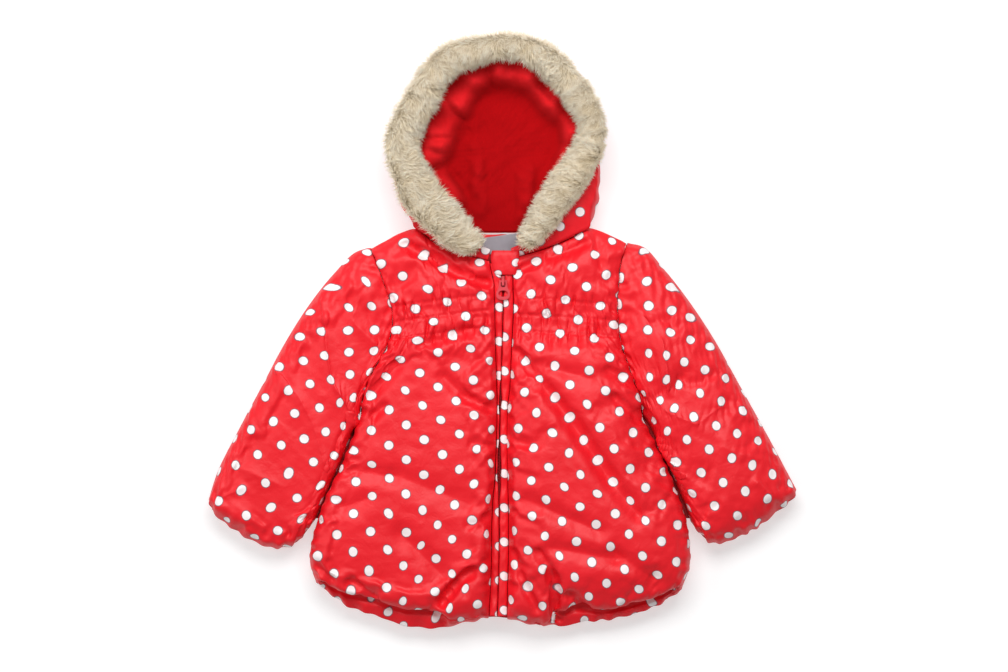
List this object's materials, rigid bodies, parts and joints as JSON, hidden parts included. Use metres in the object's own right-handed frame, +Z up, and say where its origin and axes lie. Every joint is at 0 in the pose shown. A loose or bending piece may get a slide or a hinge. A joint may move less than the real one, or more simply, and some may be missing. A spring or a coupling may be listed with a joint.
{
  "type": "padded jacket",
  "caption": "Child's red padded jacket with white polka dots, a fleece-lined hood with a fur trim, a front zip, a shirred chest and a gathered hem, lying on its back.",
  "frame": {"origin": "on the surface that the jacket lies on, under the middle of its outline", "axes": "+Z up out of the surface and out of the wearer's front, +Y from the hem to the hood, +X to the wearer's left sleeve"},
  "size_m": [0.5304, 0.5364, 0.0659],
  "materials": {
    "shell_fabric": "woven polyester with a soft satin sheen, printed with white polka dots",
    "fleece": "brushed fleece",
    "fur": "short dense pile fur",
    "zip_tape": "woven tape",
    "zip_plastic": "moulded",
    "enamelled_metal": "gloss enamel",
    "label": "woven, left bare"
  },
  "bodies": {
    "jacket": {"back": "shell_fabric", "front_left": "shell_fabric", "front_right": "shell_fabric", "sleeve_left": "shell_fabric", "sleeve_right": "shell_fabric", "hood_shell": "shell_fabric", "hood_edge_left": "shell_fabric", "hood_edge_right": "shell_fabric", "hood_lining": "fleece", "fur_trim": "fur", "placket_left": "shell_fabric", "placket_right": "shell_fabric", "zip_tape_left": "zip_tape", "zip_tape_right": "zip_tape", "zip_teeth": "zip_plastic", "zip_slider": "enamelled_metal", "chin_guard": "shell_fabric", "neck_label": "label"},
    "pull_tab": {"pull_tab": "enamelled_metal"}
  },
  "joints": [
    {"name": "pull_tab_swing", "type": "hinge", "parent": "jacket", "child": "pull_tab", "pos_m": [0.00055, 0.045, 0.0336], "axis": [-1, 0, 0], "range_deg": [0, 150]}
  ]
}
